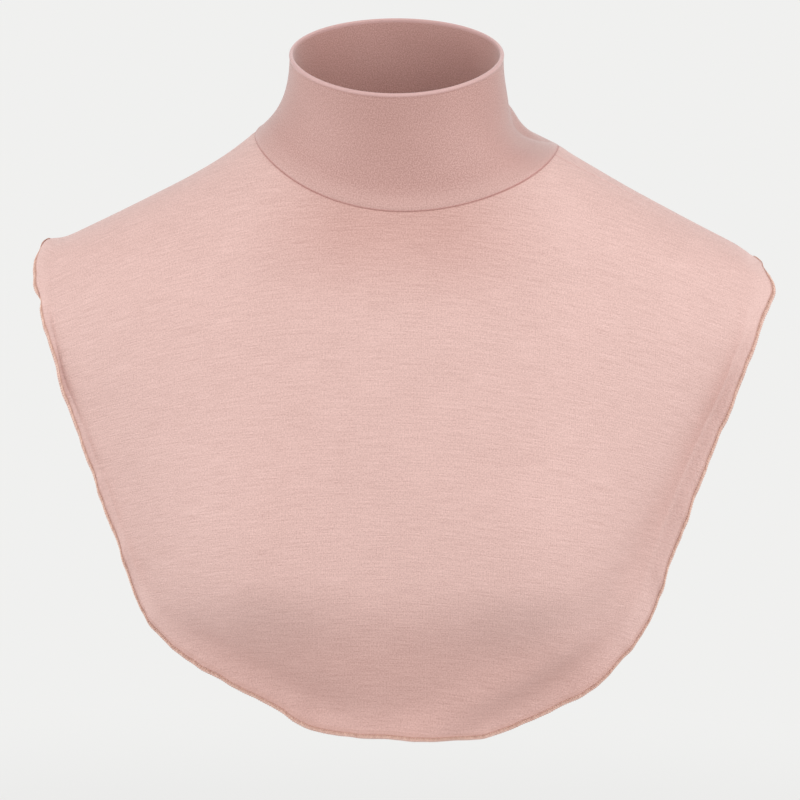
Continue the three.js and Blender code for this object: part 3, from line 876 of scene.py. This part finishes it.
# %% A wire
class Wire:
    """One number coming out of a node."""

    def __init__(self, finish, socket):
        self.finish = finish
        self.socket = socket

    def math(self, operation, a, b):
        return self.finish.node("ShaderNodeMath", {"operation": operation}, {0: a, 1: b})

    def __add__(self, other):
        return self.math("ADD", self, other)

    def __radd__(self, other):
        return self.math("ADD", other, self)

    def __sub__(self, other):
        return self.math("SUBTRACT", self, other)

    def __rsub__(self, other):
        return self.math("SUBTRACT", other, self)

    def __mul__(self, other):
        return self.math("MULTIPLY", self, other)

    def __rmul__(self, other):
        return self.math("MULTIPLY", other, self)


print("made a wire that knows +, - and *")

# %% A finish
MIX_SHARE = 0
MIX_A = 6
MIX_B = 7
MIX_COLOUR = 2


class Finish:
    """A material whose nodes are written as expressions."""

    def __init__(self, name):
        self.material = bpy.data.materials.new(name)
        self.material.use_nodes = True
        self.tree = self.material.node_tree
        self.tree.nodes.clear()

    def node(self, kind, settings=None, inputs=None, output=0):
        node = self.tree.nodes.new(kind)
        for key, value in (settings or {}).items():
            setattr(node, key, value)
        for key, value in (inputs or {}).items():
            if isinstance(value, Wire):
                self.tree.links.new(value.socket, node.inputs[key])
            else:
                node.inputs[key].default_value = value
        return Wire(self, node.outputs[output]) if node.outputs else None

    def smooth(self, value, low, high):
        """Soft step from 0 below low to 1 above high."""
        return self.node("ShaderNodeMapRange", {"interpolation_type": "SMOOTHSTEP"},
                         {"Value": value, "From Min": low, "From Max": high})

    def mix(self, share, a, b):
        """Colour between a and b."""
        return self.node("ShaderNodeMix", {"data_type": "RGBA"},
                         {MIX_SHARE: share, MIX_A: a, MIX_B: b}, MIX_COLOUR)

    def sine(self, value):
        return self.node("ShaderNodeMath", {"operation": "SINE"}, {0: value})

    def scaled(self, vector, sizes):
        """Texture place divided by the size of one grain in each direction."""
        return self.node("ShaderNodeVectorMath", {"operation": "MULTIPLY"},
                         {0: vector, 1: tuple(1 / size for size in sizes) + (1.0,)})

    def noise(self, place, size, detail=2.0, roughness=0.5):
        """Noise whose grains have a size in metres, along and across."""
        return self.node("ShaderNodeTexNoise", {"noise_dimensions": "2D"},
                         {"Vector": self.scaled(place, size), "Scale": 1.0,
                          "Detail": detail, "Roughness": roughness})

    def surface(self, inputs):
        shader = self.node("ShaderNodeBsdfPrincipled", None, inputs)
        self.node("ShaderNodeOutputMaterial", None, {"Surface": shader})
        return self.material


print("a finish has", len([word for word in vars(Finish) if not word.startswith("_")]), "methods")

# %% [markdown]
# ## Jersey
# The cloth is a fine slub jersey with a slight silky shine. Seen close, it has tiny columns of
# stitches and a fine grain. From further away it shows thin level streaks, where the yarn is
# thicker or thinner. A picture of cloth could give all this, but it would repeat. Here streaks and
# grain come from noise, the streaks from noise stretched along the courses. Both move the colour as
# well as the bump, because a thick place in the yarn is paler and also stands out.

# %% The yarn of the jersey
SLUB = {"size": (20 * MM, 0.8 * MM), "detail": 3.0, "roughness": 0.6}
FINE_SLUB = {"size": (8 * MM, 0.6 * MM)}
GRAIN = {"size": (0.85 * MM, 0.75 * MM), "roughness": 0.6}
CLOUD = {"size": (40 * MM, 25 * MM), "detail": 3.0}
WALE_PITCH = 1.1 * MM
BANDS_PER_UNIT = 3.2
FINE_SLUB_SHARE = 0.6
CLOUD_SHARE = 0.2
WALE_SHARE = 0.06
GRAIN_HEIGHT = 0.8
WALE_HEIGHT = 0.18


def apart(finish, vector):
    """The two numbers of a texture place."""
    return [finish.node("ShaderNodeSeparateXYZ", None, {0: vector}, k) for k in range(2)]


def knit_tone(finish, place, streaks, specks):
    """Tone of the cloth from thin (0) to thick (1), its yarn alone, and the height of both."""
    slub = finish.noise(place, **SLUB)
    fine = finish.noise(place, **FINE_SLUB)
    grain = finish.noise(place, **GRAIN)
    cloud = finish.noise(place, **CLOUD)
    band = WALE_PITCH * BANDS_PER_UNIT
    wale = finish.node("ShaderNodeTexWave", {"wave_type": "BANDS", "bands_direction": "X"},
                       {"Vector": finish.scaled(place, (band, band)),
                        "Scale": 1.0, "Distortion": 0.6, "Detail": 1.0})
    yarn = streaks * (slub - 0.5) + FINE_SLUB_SHARE * streaks * (fine - 0.5)
    speck = grain - 0.5
    tone = 0.5 + yarn + specks * speck + CLOUD_SHARE * (cloud - 0.5) + WALE_SHARE * (wale - 0.5)
    return tone, yarn, yarn + GRAIN_HEIGHT * speck + WALE_HEIGHT * wale


print("slubs are", round(SLUB["size"][0] / SLUB["size"][1]), "times as long as wide")

# %% [markdown]
# ## Painted light and shade on the jersey
# The bib is painted deeper, as painted shade, under the bust and below the throat. A strip beside
# the stitching is painted paler at the sides, as painted light, the cloth under the stitches gets
# painted shade, and each seam shows as a thin line of painted shade in its crease. The collar is
# deeper all over, partly because it is double and partly as painted shade, and it gets painted
# light at its foot, where it spreads, and a painted highlight along its fold. Each of these could
# be drawn into a texture picture. Mixing by the distances in the maps puts each in its place,
# however fine the mesh is.

# %% Colours of the jersey
BIB_PINK = {"thin": (0.465, 0.285, 0.250, 1.0), "thick": (0.658, 0.433, 0.394, 1.0)}
# Painted shade: a deeper pink for under the bust and below the throat.
PAINTED_SHADE_PINK = {"thin": (0.395, 0.212, 0.180, 1.0), "thick": (0.565, 0.334, 0.293, 1.0)}
# Partly the deeper pink of the double cloth and partly painted shade over the whole collar.
DOUBLE_AND_SHADED_PINK = {"thin": (0.336, 0.167, 0.142, 1.0), "thick": (0.490, 0.281, 0.247, 1.0)}
# Painted light: a paler pink for the strip beside the stitched edge and for the foot of the collar.
PAINTED_LIGHT_PINK = (0.660, 0.450, 0.410, 1.0)
SHADED_PINK = (0.465, 0.260, 0.215, 1.0)
# Painted highlight along the fold at the collar's rim.
RIM_HIGHLIGHT_PINK = (0.540, 0.335, 0.320, 1.0)
# Painted shade in the crease of each seam.
SEAM_SHADE_PINK = (0.400, 0.150, 0.130, 1.0)
print("thick yarn of the bib over that of the collar:",
      round(BIB_PINK["thick"][0] / DOUBLE_AND_SHADED_PINK["thick"][0], 2))

# %% Tones of a bib
# Painted shade under the bust, and below the throat near the front centre.
BUST_SHADE_BELOW = (235 * MM, 290 * MM)
BUST_SHADE_SHARE = 0.66
THROAT_SHADE_BELOW = (42 * MM, 105 * MM)
THROAT_SHADE_ROUND = (18 * MM, 95 * MM)
# Painted light on a strip beside the stitched edge, at the sides above the bust line.
EDGE_LIGHT_STRIP = (3 * MM, 22 * MM)
EDGE_LIGHT_SHARE = 0.4
UNDER_STITCHES = (STITCH_REACH, STITCH_REACH + 0.4 * MM)
SHADED_SHARE = 0.4


def bib_colour(finish, colour, tone, measures):
    """Bib colour: painted shade under bust, throat and stitches; painted light by the edge."""
    low = finish.smooth(measures["down"], *BUST_SHADE_BELOW)
    below_throat = finish.smooth(measures["down"], *THROAT_SHADE_BELOW)
    beside_throat = finish.smooth(measures["off_centre"], *THROAT_SHADE_ROUND)
    # Painted shade under the bust and below the throat.
    painted_shade = BUST_SHADE_SHARE * low + (1 - below_throat) * (1 - beside_throat)
    shaded_colour = finish.mix(tone, PAINTED_SHADE_PINK["thin"], PAINTED_SHADE_PINK["thick"])
    # Painted light beside the stitched edge, and painted shade under the stitches.
    strip = 1 - finish.smooth(measures["to_edge"], *EDGE_LIGHT_STRIP)
    under = 1 - finish.smooth(measures["to_edge"], *UNDER_STITCHES)
    colour = finish.mix(painted_shade, colour, shaded_colour)
    colour = finish.mix(EDGE_LIGHT_SHARE * (1 - low) * strip, colour, PAINTED_LIGHT_PINK)
    return finish.mix(SHADED_SHARE * under, colour, SHADED_PINK)


print("pressed strip:", round(EDGE_LIGHT_STRIP[1] / MM), "mm wide")

# %% Tones of the collar
# Painted light at the foot of the collar: its height, its growth towards the sides and its shares.
FOOT_LIGHT_HEIGHT = (2 * MM, 15 * MM)
FOOT_LIGHT_GROWS = (8 * MM, 28 * MM)
FOOT_LIGHT_SHARE = (0.08, 0.2)
RIM_HIGHLIGHT_LINE = (1.3 * MM, 2.4 * MM)
RIM_HIGHLIGHT_SHARE = 0.7


def collar_colour(finish, colour, measures):
    """Collar colour with painted light at the foot and a painted highlight at the fold, its map
    edge.
    """
    # Painted light at the foot of the collar, stronger at its sides.
    foot = 1 - finish.smooth(measures["to_seam"], *FOOT_LIGHT_HEIGHT)
    foot_light = blend(*FOOT_LIGHT_SHARE, finish.smooth(measures["off_centre"], *FOOT_LIGHT_GROWS))
    # Painted highlight along the fold, which is the edge of the map.
    fold = 1 - finish.smooth(measures["to_edge"], *RIM_HIGHLIGHT_LINE)
    colour = finish.mix(foot_light * foot, colour, PAINTED_LIGHT_PINK)
    return finish.mix(RIM_HIGHLIGHT_SHARE * fold, colour, RIM_HIGHLIGHT_PINK)


print("fold line:", round(2 * RIM_HIGHLIGHT_LINE[1] / MM, 1), "mm across the fold")

# %% The jersey finish
# Painted shade along the seam crease: its width, its growth towards the sides and its shares.
SEAM_SHADE_LINE = (0.2 * MM, 0.8 * MM)
SEAM_SHADE_GROWS = (20 * MM, 60 * MM)
SEAM_SHADE_SHARE = (0.05, 0.5)
BUMP_DEPTH = 0.35 * MM
SHINY_YARN = 0.18


def jersey(name, pink, streaks, specks, sheen, fold=False):
    """Slub jersey with painted light and shade, for a bib or for the collar with its fold."""
    finish = Finish(name)
    place = finish.node("ShaderNodeUVMap", {"uv_map": "knit"})
    around, down = apart(finish, place)
    to_seam, to_edge = apart(finish, finish.node("ShaderNodeUVMap", {"uv_map": "border"}))
    off_centre = finish.node("ShaderNodeMath", {"operation": "ABSOLUTE"}, {0: around})
    measures = {"off_centre": off_centre, "down": down, "to_seam": to_seam, "to_edge": to_edge}
    tone, yarn, height = knit_tone(finish, place, streaks, specks)
    colour = finish.mix(tone, pink["thin"], pink["thick"])
    # The collar gets painted light at its foot and a painted highlight along its fold.
    if fold:
        colour = collar_colour(finish, colour, measures)
    else:
        colour = bib_colour(finish, colour, tone, measures)
    # A thin line of painted shade along each seam, weak at the front and stronger at the sides.
    seam_shade = blend(*SEAM_SHADE_SHARE, finish.smooth(off_centre, *SEAM_SHADE_GROWS))
    colour = finish.mix(seam_shade * (1 - finish.smooth(to_seam, *SEAM_SHADE_LINE)), colour, SEAM_SHADE_PINK)
    normal = finish.node("ShaderNodeBump", None,
                         {"Strength": 0.5, "Distance": BUMP_DEPTH, "Height": height})
    return finish.surface({
        "Base Color": colour,
        "Roughness": 0.56 - SHINY_YARN * yarn,
        "Specular IOR Level": 0.8,
        "Sheen Weight": sheen,
        "Sheen Roughness": 0.35,
        "Normal": normal,
    })


bib_jersey = jersey("bib_jersey", BIB_PINK, streaks=0.8, specks=1.8, sheen=0.15)
for piece in (front_bib, back_bib):
    piece.data.materials.append(bib_jersey)
collar_piece.data.materials.append(
    jersey("collar_jersey", DOUBLE_AND_SHADED_PINK, streaks=0.2, specks=2.8, sheen=0.5, fold=True))
print("jersey nodes:", len(bib_jersey.node_tree.nodes))

# %% [markdown]
# ## Overlock thread
# The edge is sewn with a spun thread that is a little more orange than the cloth. Its two plies
# twist round each other, which shows as fine slanting ridges: a bump, with painted light on the
# ridges and painted shade between them. Each stitch has painted shade at its needle hole and a
# painted highlight half a stitch on, some are darker than others, and the needle thread has painted
# shade all along, where it lies deep in the cloth. A plain colour would blur into a stripe, so sine
# waves along the tube give the ridges and the crests, and a slow noise makes the stitches uneven.

# %% The thread finish
THREAD_DARK = (0.46, 0.240, 0.175, 1.0)
THREAD_LIGHT = (0.84, 0.600, 0.500, 1.0)
# Painted shade: the needle thread is darker all along, where it lies deep in the cloth.
NEEDLE_SHADE_DARK = (0.41, 0.200, 0.156, 1.0)
NEEDLE_SHADE_LIGHT = (0.60, 0.345, 0.280, 1.0)
PLY_PITCH = 0.8 * MM
RIDGE_HEIGHT = 0.06 * MM
UNEVEN_SIZE = (1.9 * MM, 4 * MM)
UNEVEN_SHARE = 0.9
# Shares of the painted highlight and shade on each stitch and along the ply ridges.
CREST_LIGHT_SHARE = 0.35
RIDGE_SHADE_SHARE = 0.1


def spun_thread(name, dark, light):
    """Two-ply thread with ridges, painted light and shade per stitch and ply, uneven stitches."""
    finish = Finish(name)
    place = finish.node("ShaderNodeUVMap", {"uv_map": "knit"})
    along, across = apart(finish, place)
    # The ply twist bumps the tube and also paints light on the ridges and shade in the grooves.
    twist = finish.sine(along * (2 * math.pi / PLY_PITCH) + across * (2 * math.pi / MM))
    # Painted shade at each needle hole and a painted highlight half a stitch on.
    crest_light = finish.sine(along * (2 * math.pi / STITCH_LENGTH) - QUARTER)
    shade = finish.noise(place, UNEVEN_SIZE)
    tone = 0.5 + UNEVEN_SHARE * (shade - 0.5) + CREST_LIGHT_SHARE * crest_light + RIDGE_SHADE_SHARE * twist
    normal = finish.node("ShaderNodeBump", None,
                         {"Strength": 0.5, "Distance": RIDGE_HEIGHT, "Height": twist})
    return finish.surface({
        "Base Color": finish.mix(tone, dark, light),
        "Roughness": 0.62,
        "Sheen Weight": 0.2,
        "Normal": normal,
    })


looper_finish = spun_thread("looper_thread", THREAD_DARK, THREAD_LIGHT)
for piece in (face_thread, under_thread):
    piece.data.materials.append(looper_finish)
needle_thread.data.materials.append(spun_thread("shaded_needle_thread", NEEDLE_SHADE_DARK, NEEDLE_SHADE_LIGHT))
print("ply ridges to a stitch:", round(STITCH_LENGTH / PLY_PITCH, 2))

# %% [markdown]
# ## Floor and background
# The studio is plain: an even pale background and a pale floor far below. One curved backdrop would
# only look right from the front. A large dome looks the same from every side, and a floor disc
# fades into it. Both are hidden from the light rays that reach the cloth, so that they add no light
# or shadow to it.

# %% A piece of the stage
BACKGROUND = (0.872, 0.872, 0.862, 1.0)

bpy.context.scene.view_settings.view_transform = "Standard"


def stage_piece(name, points, faces, material):
    """Mesh that the camera sees and that neither lights nor shades the cloth."""
    mesh = bpy.data.meshes.new(name)
    mesh.from_pydata(points.reshape(-1, 3).tolist(), [], faces)
    mesh.materials.append(material)
    piece = bpy.data.objects.new(name, mesh)
    bpy.context.scene.collection.objects.link(piece)
    piece.visible_diffuse = False
    piece.visible_glossy = False
    piece.visible_shadow = False
    print(name, "faces:", len(faces))


# %% Floor disc
FLOOR_HEIGHT = -0.62
FLOOR_RADIUS = 2.4
FLOOR_SIDES = 96
FLOOR_FADE = (0.5, 1.6)
FLOOR_GREY = (0.7, 0.7, 0.695, 1.0)
OBJECT_PLACE = 3

finish = Finish("pale_floor")
here = finish.node("ShaderNodeTexCoord", None, None, OBJECT_PLACE)
away = finish.node("ShaderNodeVectorMath", {"operation": "LENGTH"}, {0: here}, 1)
plain = finish.node("ShaderNodeBsdfDiffuse", None, {"Color": FLOOR_GREY})
glow = finish.node("ShaderNodeEmission", None, {"Color": BACKGROUND})
far = finish.smooth(away, *FLOOR_FADE)
paint = finish.node("ShaderNodeMixShader", None, {0: far, 1: plain, 2: glow})
finish.node("ShaderNodeOutputMaterial", None, {"Surface": paint})
turn = np.linspace(0, 2 * math.pi, FLOOR_SIDES + 1)[:-1]
disc = np.stack([np.cos(turn), np.sin(turn), turn * 0], -1) * FLOOR_RADIUS + [0, 0, FLOOR_HEIGHT]
stage_piece("floor", disc, [list(range(FLOOR_SIDES))], finish.material)

# %% Dome
DOME_RADIUS = 9.0
DOME_RINGS = 24
DOME_SLICES = 48

finish = Finish("pale_dome")
glow = finish.node("ShaderNodeEmission", None, {"Color": BACKGROUND})
finish.node("ShaderNodeOutputMaterial", None, {"Surface": glow})
height, turn = np.meshgrid(np.linspace(-QUARTER, QUARTER, DOME_RINGS + 1),
                           np.linspace(0, 2 * math.pi, DOME_SLICES + 1), indexing="ij")
ball = [np.cos(height) * np.cos(turn), np.cos(height) * np.sin(turn), np.sin(height)]
dome = DOME_RADIUS * np.stack(ball, -1)
stage_piece("dome", dome, cells(DOME_RINGS, DOME_SLICES)[1].tolist(), finish.material)

# %% [markdown]
# ## Soft light
# Cloth shows its folds best in broad, soft light. Large square lights stand above, in front and at
# both sides, as softboxes do in a studio, and a dim even glow of the air fills the shadows. The
# strengths are set by comparing the brightness of the chest, the collar and the hem.

# %% World and lights
AIR = (0.84, 0.84, 0.84, 1.0)
LIGHT_DISTANCE = 2.0
LIGHT_SIZE = 1.4
LIGHTS = (
    {"name": "front_left", "around": -40, "above": 10, "power": 6.7},
    {"name": "front_right", "around": 40, "above": 10, "power": 8.9},
    {"name": "left_side", "around": -80, "above": 8, "power": 10},
    {"name": "right_side", "around": 80, "above": 8, "power": 4.4},
    {"name": "left_high", "around": -60, "above": 45, "power": 4.4},
    {"name": "right_high", "around": 60, "above": 45, "power": 11},
)

world = bpy.data.worlds.new("studio_air")
world.use_nodes = True
world.node_tree.nodes["Background"].inputs["Color"].default_value = AIR
bpy.context.scene.world = world
for row in LIGHTS:
    away = direction(math.radians(row["around"]), math.radians(row["above"]))
    light = bpy.data.lights.new(row["name"], "AREA")
    light.size = LIGHT_SIZE
    light.energy = row["power"]
    lamp = bpy.data.objects.new(row["name"], light)
    facing = away.to_track_quat("Z", "Y").to_matrix().to_4x4()
    lamp.matrix_world = Matrix.Translation(LOOK_AT + away * LIGHT_DISTANCE) @ facing
    bpy.context.scene.collection.objects.link(lamp)
print("lights:", len(LIGHTS), "with", round(sum(row["power"] for row in LIGHTS), 1), "watts in all")

# %% [markdown]
